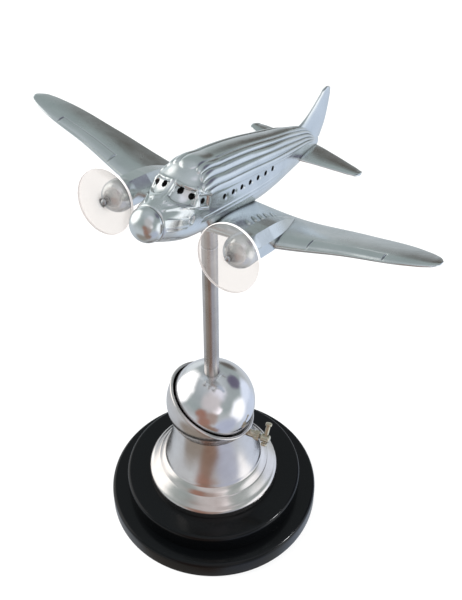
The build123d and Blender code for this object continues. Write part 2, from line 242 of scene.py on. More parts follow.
def arc(radius, start, sweep, steps, centre=0.0):
    """Points of (distance from the axis, height) on an arc round (centre, 0); angles in degrees."""
    angles = [math.radians(start + sweep * k / steps) for k in range(steps + 1)]
    return [(centre + radius * math.cos(a), radius * math.sin(a)) for a in angles]


def loops_to_mesh(loops):
    """Skin a list of equal closed loops, with a fan to a centre point at each end."""
    size = len(loops[0])
    points = [tuple(point) for loop in loops for point in loop]
    faces = []
    for i in range(len(loops) - 1):
        for k in range(size):
            n = (k + 1) % size
            a = i * size
            b = a + size
            faces.append((a + k, a + n, b + n, b + k))
    for loop_index in (0, len(loops) - 1):
        centre = np.mean(np.asarray(loops[loop_index], float), axis=0)
        tip = len(points)
        points.append(tuple(centre))
        start = loop_index * size
        for k in range(size):
            faces.append((start + k, start + (k + 1) % size, tip))
    return points, faces


def curve_through(knots, xs):
    """Smooth values at xs through (x, value) knots with rising x."""
    kx = np.array([k[0] for k in knots], float)
    ky = np.array([k[1] for k in knots], float)
    step = np.diff(kx)
    slope = np.diff(ky) / step
    tangent = np.empty_like(ky)
    tangent[0] = slope[0]
    tangent[-1] = slope[-1]
    tangent[1:-1] = (slope[:-1] * step[1:] + slope[1:] * step[:-1]) / (step[1:] + step[:-1])
    xs = np.clip(np.asarray(xs, float), kx[0], kx[-1])
    i = np.clip(np.searchsorted(kx, xs, side="right") - 1, 0, len(kx) - 2)
    h = step[i]
    t = (xs - kx[i]) / h
    return (
        ky[i] * (2 * t ** 3 - 3 * t ** 2 + 1)
        + tangent[i] * h * (t ** 3 - 2 * t ** 2 + t)
        + ky[i + 1] * (3 * t ** 2 - 2 * t ** 3)
        + tangent[i + 1] * h * (t ** 3 - t ** 2)
    )


def station(table, at):
    """Every column of a station table at one place along its first column."""
    columns = range(1, len(table[0]))
    return [float(curve_through([(row[0], row[k]) for row in table], [at])[0]) for k in columns]


def step_up(value, low, high):
    """0 below low, 1 above high, smooth between."""
    t = np.clip((np.asarray(value, float) - low) / (high - low), 0.0, 1.0)
    return t * t * (3 - 2 * t)


def ridge(distance, width):
    """A smooth bump, 1 on its line and 0 a few widths away."""
    return np.exp(-((np.asarray(distance, float) / width) ** 2))


# ---- materials ----

def node_tree(name):
    """A new material, its nodes and its Principled shader."""
    material = bpy.data.materials.new(name)
    material.use_nodes = True
    nodes = material.node_tree.nodes
    return material, nodes, nodes["Principled BSDF"]


def set_values(node, **values):
    """Set a node's properties or inputs; an underscore stands for a space in an input's name."""
    for key, value in values.items():
        if hasattr(node, key):
            setattr(node, key, value)
        else:
            node.inputs[key.replace("_", " ")].default_value = value
    return node


def add(nodes, kind, **values):
    """A new node with its properties or inputs set."""
    return set_values(nodes.new(kind), **values)


def join(source, target):
    """Link one socket to another in the tree that holds them."""
    source.id_data.links.new(source, target)


def feed(value, socket):
    """Join a socket to another one, or set it to a number or to a colour of three numbers."""
    if isinstance(value, bpy.types.NodeSocket):
        join(value, socket)
    elif isinstance(value, tuple):
        socket.default_value = (*value, 1.0)
    else:
        socket.default_value = value


def ramp(nodes, source, stops):
    """A colour ramp of (place, grey or colour) stops fed by a socket."""
    node = nodes.new("ShaderNodeValToRGB")
    elements = node.color_ramp.elements
    while len(elements) < len(stops):
        elements.new(0.5)
    for element, (place, colour) in zip(elements, stops):
        element.position = place
        if isinstance(colour, (int, float)):
            colour = (colour, colour, colour)
        element.color = (*colour, 1.0)
    join(source, node.inputs["Fac"])
    return node.outputs["Color"]


def object_noise(nodes, scale, detail=4.0, stretch=(1, 1, 1), roughness=0.5):
    """Noise in the object's own metres, squeezed by stretch."""
    where = nodes.new("ShaderNodeTexCoord")
    mapping = nodes.new("ShaderNodeMapping")
    mapping.inputs["Scale"].default_value = stretch
    join(where.outputs["Object"], mapping.inputs["Vector"])
    noise = add(nodes, "ShaderNodeTexNoise", Scale=scale, Detail=detail, Roughness=roughness)
    join(mapping.outputs["Vector"], noise.inputs["Vector"])
    return noise.outputs["Fac"]


def bump_chain(nodes, layers):
    """Bumps of (height socket, distance in metres, strength) one on another; returns the normal."""
    normal = None
    for height, distance, strength in layers:
        bump = add(nodes, "ShaderNodeBump", Strength=strength, Distance=distance)
        join(height, bump.inputs["Height"])
        if normal is not None:
            join(normal, bump.inputs["Normal"])
        normal = bump.outputs["Normal"]
    return normal


def painted_crevice_shade(nodes, distance):
    """Ambient occlusion for painted shade: 1 on open surface, lower in grooves."""
    return add(nodes, "ShaderNodeAmbientOcclusion", samples=4, Distance=distance).outputs["AO"]


def mix_colour(nodes, factor, a, b, blend="MIX"):
    """Colour a where factor is 0 and b where it is 1; each may be a socket."""
    mix = add(nodes, "ShaderNodeMix", data_type="RGBA", blend_type=blend)
    for key, value in (("Factor", factor), (6, a), (7, b)):
        feed(value, mix.inputs[key])
    return mix.outputs[2]


def mix_shader(nodes, factor, a, b):
    """Shader node a where factor is 0 and b where it is 1."""
    mix = nodes.new("ShaderNodeMixShader")
    for key, value in enumerate((factor, a.outputs[0], b.outputs[0])):
        feed(value, mix.inputs[key])
    return mix


def metal(name, colour, dull, rough, stretch, cast, fine, painted_groove_shade, spin=None):
    """Polished metal: tone drift, painted shade in grooves, smudged roughness, fine scratches and a slow
    hand-polished ripple.
    """
    material, nodes, shader = node_tree(name)
    shader.inputs["Metallic"].default_value = 1.0
    tone = ramp(nodes, object_noise(nodes, 55.0, 3.0), [(0.3, 0.0), (0.75, 1.0)])
    base = mix_colour(nodes, tone, colour, dull)
    # Painted shade: the colour is darkened in grooves and tight corners that ambient occlusion finds.
    painted_shade = ramp(nodes, painted_crevice_shade(nodes, 0.002), [(0.35, painted_groove_shade), (0.9, 1.0)])
    shaded = mix_colour(nodes, 1.0, base, painted_shade, "MULTIPLY")
    join(shaded, shader.inputs["Base Color"])
    smudge = object_noise(nodes, 90.0, 6.0, roughness=0.6)
    roughness = ramp(nodes, smudge, [(0.3, rough[0]), (0.75, rough[1])])
    join(roughness, shader.inputs["Roughness"])
    scratches = object_noise(nodes, 1400.0, 3.0, stretch)
    layers = [(scratches, 0.00002, fine)]
    if cast:
        ripple = object_noise(nodes, 170.0, 2.0)
        layers.insert(0, (ripple, 0.0004, cast))
    if spin:
        shader.inputs["Anisotropic"].default_value = 0.55
        around = add(nodes, "ShaderNodeTangent", direction_type="RADIAL", axis="Z")
        join(around.outputs[0], shader.inputs["Tangent"])
        where = nodes.new("ShaderNodeTexCoord")
        rings = add(nodes, "ShaderNodeTexWave", bands_direction="Z", Scale=spin, Distortion=0.6, Detail=2.0)
        join(where.outputs["Object"], rings.inputs["Vector"])
        layers.append((rings.outputs["Fac"], 0.00002, fine))
    join(bump_chain(nodes, layers), shader.inputs["Normal"])
    return material


def glossy_black():
    """Black lacquer with fine dust, faint scratches and a clear coat."""
    material, nodes, shader = node_tree("black_lacquer")
    dust = ramp(nodes, object_noise(nodes, 2600.0, 2.0), [(0.72, 0.0), (0.8, 1.0)])
    base = mix_colour(nodes, dust, (0.0012, 0.0015, 0.0018), (0.008, 0.009, 0.010))
    join(base, shader.inputs["Base Color"])
    haze = object_noise(nodes, 40.0, 5.0)
    join(ramp(nodes, haze, [(0.3, 0.16), (0.8, 0.26)]), shader.inputs["Roughness"])
    set_values(shader, Specular_IOR_Level=0.2, Coat_Weight=0.15, Coat_Roughness=0.08)
    scratches = object_noise(nodes, 900.0, 3.0, (1, 1, 4))
    join(bump_chain(nodes, [(scratches, 0.00002, 0.05)]), shader.inputs["Normal"])
    return material


def hole_shade_material():
    """Painted shade for the unlit inside of a drilled hole: near black, with a hint of tool marks."""
    material, nodes, shader = node_tree("drilled_hole_painted_shade")
    marks = ramp(nodes, object_noise(nodes, 1500.0, 2.0), [(0.3, 0.002), (0.8, 0.012)])
    join(marks, shader.inputs["Base Color"])
    shader.inputs["Roughness"].default_value = 0.6
    return material


def grained(name, scale, detail, dark, light, bump=None, **values):
    """Fine grain between two colours, with an optional bump of (distance in metres, strength)."""
    material, nodes, shader = node_tree(name)
    grain = object_noise(nodes, scale, detail)
    join(mix_colour(nodes, grain, dark, light), shader.inputs["Base Color"])
    set_values(shader, **values)
    if bump:
        join(bump_chain(nodes, [(grain, *bump)]), shader.inputs["Normal"])
    return material


def clear_plastic():
    """Clear acrylic sheet: see-through faces with a faint haze and a glossy sheen at grazing angles; the cut
    edges take their own material.
    """
    material, nodes, shader = node_tree("clear_acrylic")
    nodes.remove(shader)
    clear = add(nodes, "ShaderNodeBsdfTransparent", Color=(0.925, 0.905, 0.89, 1.0))
    shine = add(nodes, "ShaderNodeBsdfGlossy", Color=(1.0, 1.0, 1.0, 1.0), Roughness=0.03)
    haze = add(nodes, "ShaderNodeBsdfDiffuse", Color=(0.96, 0.93, 0.91, 1.0))
    fresnel = add(nodes, "ShaderNodeFresnel", IOR=1.35)
    smear = ramp(nodes, object_noise(nodes, 70.0, 5.0), [(0.3, 0.06), (0.8, 0.14)])
    cloudy = mix_shader(nodes, smear, clear, haze)
    glazed = mix_shader(nodes, fresnel.outputs[0], cloudy, shine)
    join(glazed.outputs[0], nodes["Material Output"].inputs["Surface"])
    return material


# Each metal: colour, dull colour, roughness range, scratch stretch, ripple, scratch depth, painted groove
# shade.
aluminium = metal("cast_aluminium", (0.82, 0.85, 0.85), (0.70, 0.74, 0.74), (0.17, 0.30),
                  (1, 0.25, 1), 0.16, 0.12, 0.35)
mirror = metal("polished_spun_metal", (0.86, 0.825, 0.80), (0.70, 0.65, 0.62), (0.15, 0.27),
               (1, 1, 8), 0.04, 0.14, 0.75, spin=420.0)
ball_metal = metal("polished_ball", (0.93, 0.92, 0.93), (0.80, 0.79, 0.81), (0.10, 0.19),
                   (1, 1, 1), 0.06, 0.07, 0.4)
post_metal = metal("drawn_tube", (0.66, 0.62, 0.585), (0.50, 0.46, 0.43), (0.24, 0.36),
                   (3, 3, 0.1), 0.02, 0.05, 0.5)
nickel = metal("worn_nickel_brass", (0.78, 0.73, 0.60), (0.58, 0.52, 0.38), (0.15, 0.32),
               (1, 1, 1), 0.05, 0.1, 0.4)
steel = metal("plain_steel", (0.60, 0.60, 0.60), (0.45, 0.45, 0.46), (0.25, 0.42),
              (1, 1, 1), 0.0, 0.1, 0.5)
lacquer = glossy_black()
painted_hole_shade = hole_shade_material()
felt_cloth = grained("dark_felt", 3000.0, 6.0, (0.01, 0.014, 0.012), (0.05, 0.06, 0.055),
                     (0.0003, 0.6), Roughness=0.95, Sheen_Weight=0.4)
fibre = grained("pressed_fibre", 1800.0, 5.0, (0.05, 0.025, 0.012), (0.16, 0.085, 0.04),
                (0.0001, 0.4), Roughness=0.8)
acrylic = clear_plastic()
# The sawn and polished rim of a disc gathers light, so it glows a little: its emission is a painted glow.
acrylic_rim_painted_glow = grained("acrylic_edge_painted_glow", 2200.0, 2.0, (0.9, 0.86, 0.84), (1.0, 0.97, 0.95), Roughness=0.25,
                      Emission_Color=(1.0, 0.94, 0.92, 1.0), Emission_Strength=0.25, Alpha=0.85)


# ---- base and pedestal ----

def base_pieces():
    """Felt and the two black discs."""
    lower = [(15.0, 1.0, 0.3), (75.0, 1.0, 1.5), (75.0, 15.0, 3.2), (2.8, 15.0, 0.2),
             (2.8, 9.0, 0.2), (15.0, 9.0, 0.3)]
    turned_piece("black_base_lower", lower, True, 240, lacquer, "stand", "base_lower", "black_base", steps=8)
    upper = [(2.8, 15.0, 0.2), (63.0, 15.0, 0.3), (63.0, 30.0, 2.8), (2.8, 30.0, 0.2)]
    turned_piece("black_base_upper", upper, True, 240, lacquer, "stand", "base_upper", "black_base", steps=8)
    pad = [(0, 0, 0), (71.0, 0, 0.2), (71.0, 1.0, 0.2), (0, 1.0, 0)]
    turned_piece("felt_underside", pad, False, 160, felt_cloth, "stand", "felt_pad", "felt")


def bell_outline():
    """The outside of the bell from foot to top as (radius, height)."""
    foot = [(46.0, 30.0, 0.3), (46.4, 31.0, 0.6), (46.4, 35.6, 1.6), (45.2, 37.6, 1.2), (43.6, 38.9, 1.5),
            (41.4, 41.6, 2.5), (39.2, 44.1, 0.8), (38.6, 44.5, 0.35), (37.9, 45.6, 0.35), (36.6, 47.6, 1.2),
            (35.2, 49.2, 0.5), (34.5, 49.8, 0.3), (34.1, 50.9, 0.4)]
    neck = [(50.0, 34.6), (57.0, 32.2), (66.0, 29.9), (76.0, 28.1), (84.0, 27.3), (90.0, 27.0)]
    heights = np.linspace(52.0, 89.2, 36)
    flare = [(float(radius), float(height)) for radius, height in zip(curve_through(neck, heights), heights)]
    return rounded(foot, False, 4) + flare


def pedestal():
    """The spun bell, a thin shell closed round its foot and its top."""
    outer = bell_outline()
    inner = [(r - 1.2, max(z - 0.9, 30.0)) for r, z in reversed(outer)]
    outline = outer + [(26.4, 89.4)] + inner
    make_piece("spun_bell", *lathe(outline, True, 256), [mirror], "stand", ["pedestal_bell"],
               "polished_metal", sharp=50)


def cup_piece():
    """The slanted bowl: an outer and an inner sphere joined by a rolled lip."""
    outline = arc(CUP_OUTER, -90.0, 88.0, 48)
    outline += arc(1.15, -75.0, 255.0, 14, CUP_OUTER - 0.05)
    outline += arc(CUP_INNER, -1.0, -89.0, 48)
    outline[0] = (0.0, -CUP_OUTER)
    outline[-1] = (0.0, -CUP_INNER)
    make_piece("slanted_cup", *lathe(outline, False, 256), [mirror], "stand", ["socket_cup"],
               "polished_metal", CUP_FRAME, 60)


base_pieces()
pedestal()
cup_piece()


# ---- ball and post ----

def ball_piece():
    """Hollow ball, slotted underneath and bored at the top for the post."""
    steps = 72
    boss_radius = 8.0
    boss_bottom = 18.0
    inside = BALL_RADIUS - BALL_WALL
    top = math.degrees(math.asin(POST_RADIUS / BALL_RADIUS))
    outline = arc(BALL_RADIUS, -90.0, 180.0 - top, steps)
    outline += [(POST_RADIUS, boss_bottom), (boss_radius, boss_bottom)]
    outline.append((boss_radius, math.sqrt(inside ** 2 - boss_radius ** 2)))
    top = math.degrees(math.asin(boss_radius / inside))
    outline += arc(inside, 90.0 - top, top - 180.0, steps)[1:]
    outline[0] = (0.0, -BALL_RADIUS)
    outline[-1] = (0.0, -inside)
    centre = turned((0, 0, BALL_Z))
    ball = make_piece("polished_ball", *lathe(outline, False, 256), [ball_metal], "ball_and_post", ["ball"],
                      "polished_metal", centre, 40)
    reach = 60.0
    x = reach * math.sin(math.radians(SLOT_HALF_ANGLE))
    z = -reach * math.cos(math.radians(SLOT_HALF_ANGLE))
    half = SLOT_WIDTH / 2
    wedge = [(0, -half, 0), (-x, -half, z), (x, -half, z), (0, half, 0), (-x, half, z), (x, half, z)]
    faces = [(0, 1, 2), (5, 4, 3), (0, 3, 4, 1), (1, 4, 5, 2), (2, 5, 3, 0)]
    cutter = make_piece("slot_cutter", wedge, faces, [], "ball_and_post", place=centre)
    cut = ball.modifiers.new("slot", "BOOLEAN")
    cut.operation = "DIFFERENCE"
    cut.solver = "EXACT"
    cut.object = cutter
    bpy.context.view_layer.objects.active = ball
    with bpy.context.temp_override(object=ball, active_object=ball, selected_objects=[ball]):
        bpy.ops.object.modifier_apply(modifier=cut.name)
    bpy.data.objects.remove(cutter)


def post_pieces():
    """The post, the thin bright rings of its joint, and the sleeve under the wing."""
    low = BALL_Z + 18.0
    post = [(0, low, 0), (POST_RADIUS, low, 0.2), (POST_RADIUS, POST_JOINT_Z, 0.35), (0, POST_JOINT_Z, 0)]
    turned_piece("post_tube", post, False, 96, post_metal, "ball_and_post", "post", "post_metal")
    ring = [(2.6, 244.06, 0.05), (5.2, 244.06, 0.25), (5.2, 244.8, 0.25), (2.6, 244.8, 0.05)]
    turned_piece("joint_ring", ring, True, 96, ball_metal, "aircraft", "pivot_washer", "post_metal")
    sleeve = [(2.6, 244.86, 0.1), (5.0, 244.86, 0.3), (5.0, 246.3, 0.2), (5.12, 246.6, 0.2),
              (5.0, 246.9, 0.2), (5.0, 265.0, 0.1), (2.6, 265.0, 0.1)]
    turned_piece("post_sleeve_tube", sleeve, True, 96, post_metal, "aircraft", "post_sleeve", "post_metal")


ball_piece()
post_pieces()


# ---- clamp screw ----

def clamp_pieces():
    """Knurled bush, screw with a stepped head, and the sliding bar with its end caps."""
    flange = []
    notches = 12
    for radius_scale, height in ((0.93, 32.4), (1.0, 32.8), (1.0, 35.6), (0.93, 36.1)):
        loop = []
        for k in range(120):
            angle = 2 * math.pi * k / 120
            wave = 3.2 + 0.28 * math.tanh(2.2 * math.cos(notches * angle))
            reach = wave * radius_scale
            loop.append((reach * math.cos(angle), reach * math.sin(angle), height))
        flange.append(loop)
    body = [(0, 26.6, 0), (2.7, 26.6, 0.2), (2.7, 32.6, 0.1), (0, 32.6, 0)]
    collar = [(0, 35.8, 0), (2.4, 35.8, 0.1), (2.4, 36.2, 0.15), (0, 36.2, 0)]
    round_parts = [lathe(rounded(outline, False), False, 64) for outline in (body, collar)]
    bush = merge(loops_to_mesh(flange), *round_parts)
    make_piece("knurled_bush", *bush, [nickel], "stand", ["clamp_bush"], "nickel_brass", CLAMP_FRAME)
    head = [(0, 26.2, 0), (1.5, 26.2, 0.2), (1.5, 37.4, 0.05), (2.6, 37.4, 0.2), (2.8, 37.8, 0.2),
            (2.8, 38.5, 0.25), (2.5, 38.8, 0.15), (2.5, 41.9, 0.15), (2.8, 42.2, 0.25), (2.8, 42.8, 0.3),
            (2.1, 43.6, 0.4), (0, 43.6, 0)]
    turned_piece("clamp_screw_body", head, False, 80, nickel, "clamp_head", "clamp_screw", "nickel_brass",
                 CLAMP_FRAME)
    bar_frame = CLAMP_FRAME @ turned((0, 0, 40.4), ("Z", 59.0), ("X", 90.0)) @ turned((0, 0, -3.0))
    bar = [(0, -7.2, 0), (1.5, -7.2, 0.1), (1.5, 7.2, 0.1), (0, 7.2, 0)]
    turned_piece("sliding_bar", bar, False, 48, nickel, "clamp_bar", "tommy_bar", "nickel_brass", bar_frame)
    caps = []
    for side in (-1, 1):
        z = side * 7.4
        cap = [(0, z - 1.0, 0), (2.3, z - 1.0, 0.55), (2.3, z + 1.0, 0.55), (0, z + 1.0, 0)]
        caps.append(lathe(rounded(cap, False), False, 64))
    make_piece("bar_caps", *merge(*caps), [nickel], "clamp_bar", ["bar_end_caps"], "nickel_brass", bar_frame)


clamp_pieces()


# ---- propeller discs ----

def nacelle_axis(side):
    """The axis of one nacelle in the aircraft's own axes; side is 1 for port and -1 for starboard."""
    return turned((0, side * NACELLE_Y, NACELLE_Z), ("Y", 90.0))


def disc_pieces():
    """Clear discs, with the rim as its own material, and the pins and washers at their centres."""
    half = DISC_THICKNESS / 2
    pins = []
    washers = []
    for side, name in ((1, "port"), (-1, "starboard")):
        place = nacelle_axis(side)
        outline = [(1.25, DISC_X - half, 0.05), (DISC_RADIUS, DISC_X - half, 0.3),
                   (DISC_RADIUS, DISC_X + half, 0.3), (1.25, DISC_X + half, 0.05)]
        points, faces = lathe(rounded(outline, True, 3), True, 160)
        flags = []
        for face in faces:
            radius = sum(math.hypot(points[i][0], points[i][1]) for i in face) / len(face)
            flags.append(1 if radius > DISC_RADIUS - 0.32 else 0)
        make_piece("clear_disc_" + name, points, faces, [acrylic, acrylic_rim_painted_glow], name + "_disc",
                   ["propeller_disc_" + name], "clear_acrylic", AIRCRAFT @ place, slots=flags)
        front = DISC_X + half + 0.05
        pin = [(0, 36.6, 0), (1.2, 36.6, 0.2), (1.2, front, 0.05), (1.8, front, 0.2),
               (1.85, front + 0.4, 0.4), (1.2, front + 1.4, 0.6), (0, front + 1.8, 0)]
        pins.append(moved(lathe(rounded(pin, False), False, 48), place))
        washer = [(1.25, 43.5, 0.1), (2.15, 43.5, 0.2), (2.15, 44.5, 0.2), (1.25, 44.5, 0.1)]
        washers.append(moved(lathe(rounded(washer, True), True, 48), place))
    make_piece("hub_pin_heads", *merge(*pins), [steel], "aircraft", ["hub_pins"], "steel", AIRCRAFT)
    make_piece("hub_washer_rings", *merge(*washers), [steel], "aircraft", ["hub_washers"], "steel", AIRCRAFT)


disc_pieces()


# ---- wing with nacelles ----

def casting(name, part, node, sharp, place=AIRCRAFT, extra=(), slots=None):
    """A cast piece of the aircraft, with any extra materials after the aluminium."""
    make_piece(name, *part, [aluminium, *extra], "aircraft", [node], "cast_aluminium", place, sharp, slots)


def profile_height(f):
    """Half thickness of the wing section at chord fraction f, for a thickness of 1."""
    f = np.asarray(f, float)
    shape = 0.2969 * np.sqrt(f) - 0.126 * f - 0.3516 * f ** 2 + 0.2843 * f ** 3 - 0.1015 * f ** 4
    return 5.0 * shape + 0.04 * f


def nacelle_radius_at(x):
    """Radius of the nacelle's round body at x."""
    x = np.asarray(x, float)
    knots = [(NACELLE_TAIL, 0.0), (-17.0, 2.9), (-8.0, 5.9), (3.0, 8.5), (14.0, NACELLE_RADIUS)]
    tail = curve_through(knots, x)
    dome_x = NACELLE_NOSE - NACELLE_RADIUS
    dome = np.sqrt(np.clip(NACELLE_RADIUS ** 2 - np.clip(x - dome_x, 0, None) ** 2, 0, None))
    return np.where(x < 14.0, tail, np.where(x > dome_x, dome, NACELLE_RADIUS))


def boot_panel(x, y, lead, chord):
    """Relief of the panel along the outer wing's leading edge: a cut outline round a slight rise."""
    side = np.abs(y)
    back = lead - x
    width = 0.215 * chord
    inside = np.minimum(np.minimum(side - 69.0, 111.0 - side), width - back)
    rise = 0.22 * step_up(inside, 0.0, 0.5)
    groove = 0.55 * ridge(inside + 0.1, 0.42)
    return (rise - groove) * step_up(back, 0.15, 0.9)


def facets(part):
    """Flatten the rear of a nacelle into eight soft faces."""
    points, faces = part
    out = []
    eighth = math.pi / 4
    for x, y, z in points:
        angle = (math.atan2(y, x) + eighth / 2) % eighth - eighth / 2
        flat = 1.02 * math.cos(eighth / 2) / math.cos(angle)
        blend = float(step_up(z, -22.0, -10.0) * (1 - step_up(z, 27.0, 33.0)))
        scale = 1.0 + (flat - 1.0) * blend
        out.append((x * scale, y * scale, z))
    return out, faces


def wing_piece():
    """The one-piece wing: a closed skin with both nacelles, the louvres and the leading-edge panels."""
    chord_steps = 64
    fractions = 0.5 * (1 - np.cos(np.pi * np.arange(chord_steps + 1) / chord_steps))
    fractions = np.union1d(fractions, np.linspace(0.18, 0.25, 22))
    tip_spans = HALF_SPAN - 15.0 * np.cos(np.linspace(0.0, np.pi / 2, 22)[1:])
    spans = np.concatenate([np.arange(0.0, 124.0, 0.8), tip_spans])
    panel_ends = np.concatenate([np.linspace(68.0, 70.2, 15), np.linspace(109.8, 112.0, 15)])
    spans = np.union1d(spans, panel_ends)
    spans = np.concatenate([-spans[::-1], spans[1:]])
    loops = []
    for y in spans:
        lead, trail, middle, thick = station(WING, abs(y))
        chord = lead - trail
        x = lead - chord * fractions
        height = thick * profile_height(fractions)
        top = middle + height + boot_panel(x, y, lead, chord)
        low = middle - height
        upper = np.stack([x, np.full_like(x, y), top], axis=1)
        lower = np.stack([x, np.full_like(x, y), low], axis=1)[::-1][:-1]
        loops.append(np.concatenate([upper, lower]))
    skin = loops_to_mesh(loops)
    nacelles = []
    dome = NACELLE_NOSE - NACELLE_RADIUS * (1 - np.sin(np.linspace(0.03, np.pi / 2, 24)))
    xs = np.concatenate([np.linspace(NACELLE_TAIL, 33.0, 90), dome])
    radii = nacelle_radius_at(xs)
    radii[0] = 0.0
    radii[-1] = 0.0
    outline = [(float(r), float(x)) for r, x in zip(radii, xs)]
    for side in (-1, 1):
        nacelles.append(moved(facets(lathe(outline, False, 144)), nacelle_axis(side)))
    louvres = []
    for side in (-1, 1):
        for inner, outer in LOUVRES:
            louvres.append(louvre(inner, outer, side))
    casting("cast_wing", merge(skin, *nacelles, *louvres), "wing", 42)


# Louvres beside each nacelle, as the inner and the outer end (x, |y|) of every slat.
LOUVRES = [((3.9, 25.6), (6.9, 30.6)), ((-3.4, 25.2), (0.8, 31.0)), ((-9.4, 25.2), (-4.6, 32.2)),
           ((-15.0, 26.0), (-9.4, 33.8)), ((-20.5, 27.6), (-13.8, 35.8))]


def wing_top(x, y):
    """Height of the wing's upper skin at one point."""
    lead, trail, middle, thick = station(WING, abs(y))
    return middle + thick * float(profile_height(np.clip((lead - x) / (lead - trail), 0.0, 1.0)))


def louvre(inner, outer, side):
    """One raised slat lying on the wing's skin, thicker along its rear flank than in front."""
    steps = 26
    around = 20
    loops = []
    along = Vector((outer[0] - inner[0], outer[1] - inner[1]))
    across = Vector((-along.y, along.x)).normalized()
    for i in range(steps + 1):
        t = i / steps
        swell = math.sqrt(max(1.0 - (2.0 * t - 1.0) ** 4, 0.004))
        centre = Vector(inner) + along * t
        loop = []
        for k in range(around):
            angle = 2 * math.pi * k / around
            reach = 1.25 * swell * math.cos(angle)
            x = centre.x + across.x * reach
            y = centre.y + across.y * reach
            lift = 1.45 * swell * math.sin(angle) * (1.0 + 0.35 * math.cos(angle))
            loop.append((x, side * y, wing_top(x, y) - 0.25 + lift))
        loops.append(loop)
    return loops_to_mesh(loops)


wing_piece()


# ---- fuselage ----

def section_loop(x, count):
    """Evenly spaced y and z round the fuselage at x from the keel, and the whole way round."""
    half, low, high, power = station(FUSELAGE, x)
    t = np.linspace(0, 2 * np.pi, 3001) - np.pi / 2
    c = np.cos(t)
    s = np.sin(t)
    y = half * np.sign(c) * np.abs(c) ** (2 / power)
    z = (low + high) / 2 + (high - low) / 2 * np.sign(s) * np.abs(s) ** (2 / power)
    length = np.concatenate([[0], np.cumsum(np.hypot(np.diff(y), np.diff(z)))])
    want = np.linspace(0, length[-1], count + 1)[:-1]
    y = np.interp(want, length, y)
    z = np.interp(want, length, z)
    return y, z, length[-1]


def capsule_rib(across, x, middle, half_width, front):
    """A long rounded rib, 1 on its crest, with a round front end at x = front."""
    centre = front - half_width
    reach = np.hypot(across - middle, np.clip(x - centre, 0.0, None)) / half_width
    return np.clip(1.0 - reach ** 2, 0.0, 1.0) ** 0.55


# Roof ribs: middle and half width in millimetres from the centre line at the widest section, front end x.
RIBS = [(0.0, 5.6, 35.5), (8.1, 2.2, 33.5), (12.8, 2.2, 34.0), (17.5, 2.2, 35.5), (22.2, 2.2, 33.0)]


def fuselage_relief(x, y, z, arc, total):
    """Height of the raised and sunk detail on the fuselage skin, in millimetres."""
    side = np.abs(y)
    across = np.abs(arc - total / 2) / total * 120.0
    relief = np.zeros_like(x)
    fade = step_up(x, -116.0, -96.0)
    for middle, half_width, front in RIBS:
        relief += 0.85 * fade * capsule_rib(across, x, middle, half_width, front)
    # The rib crests stay level with the casting's rough size.
    relief -= 1.05 * step_up(z, 38.0, 43.0)
    # Belt lines under the cabin windows.
    belt = step_up(x, -70.0, -45.0) * (1 - step_up(x, 33.0, 36.0)) * step_up(side, 5.0, 9.0)
    relief += 0.5 * belt * (ridge(z - 21.2, 0.6) + ridge(z - 18.4, 0.6))
    # Speed lines along the nose, ending at a small vent.
    nose = step_up(x, 45.0, 45.8) * (1 - step_up(x, 59.0, 60.5)) * step_up(side, 4.0, 7.0)
    high_line = 23.7 + 0.17 * (x - 44.6)
    low_line = 20.9 + 0.09 * (x - 47.5)
    lines = ridge(z - high_line, 0.45) + ridge(z - low_line, 0.45) + ridge(z - low_line + 2.3, 0.45)
    relief += 0.26 * nose * lines
    vent = np.hypot((x - 43.2) / 1.5, (z - 23.0) / 2.6)
    rim_and_hole = 0.35 * ridge(vent - 1.25, 0.25) - 0.6 * (1 - step_up(vent, 0.5, 1.0))
    relief += step_up(side, 10.0, 11.0) * rim_and_hole
    # Chines on top of the nose, from the seam back to the windscreen corners.
    chine_y = curve_through([(38.0, 14.6), (48.0, 11.0), (58.0, 6.4), (62.0, 4.8)], x)
    inner_y = curve_through([(38.0, 6.4), (48.0, 4.6), (58.0, 2.6), (62.0, 1.6)], x)
    middle_y = curve_through([(38.0, 10.6), (48.0, 7.8), (58.0, 4.5), (62.0, 3.2)], x)
    deck = (z > 24.0) * (1 - step_up(x, 57.5, 60.0))
    relief += deck * step_up(x, 39.5, 43.0) * 0.8 * ridge(side - chine_y, 0.8)
    inner_part = deck * step_up(x, 44.0, 45.5) * (1 - step_up(x, 54.0, 57.0))
    relief += inner_part * 0.65 * ridge(side - inner_y, 0.6)
    middle_part = deck * step_up(x, 43.0, 44.5) * (1 - step_up(x, 52.0, 55.0))
    relief += middle_part * 0.5 * ridge(side - middle_y, 0.55)
    # Seam groove behind the nose cap.
    relief -= 0.45 * ridge(x - 61.7, 0.35)
    return relief


def outside_quad(u, v, corners):
    """Distance outside a four-cornered outline given clockwise or anticlockwise; negative inside."""
    far = np.full(np.shape(u), -1e9)
    centre_u = sum(c[0] for c in corners) / 4
    centre_v = sum(c[1] for c in corners) / 4
    for (au, av), (bu, bv) in zip(corners, corners[1:] + corners[:1]):
        length = math.hypot(bu - au, bv - av)
        nu = (bv - av) / length
        nv = -(bu - au) / length
        if nu * (centre_u - au) + nv * (centre_v - av) > 0:
            nu = -nu
            nv = -nv
        far = np.maximum(far, (u - au) * nu + (v - av) * nv)
    return far


# Sunk glazing, as corners: the windscreen half in (|y|, z), the cockpit side window in (x, z).
WINDSCREEN = [(1.9, 39.4), (12.4, 38.2), (14.2, 30.6), (2.2, 34.4)]
SIDE_WINDOW = [(38.6, 35.6), (31.0, 34.2), (31.0, 27.4), (38.0, 29.2)]


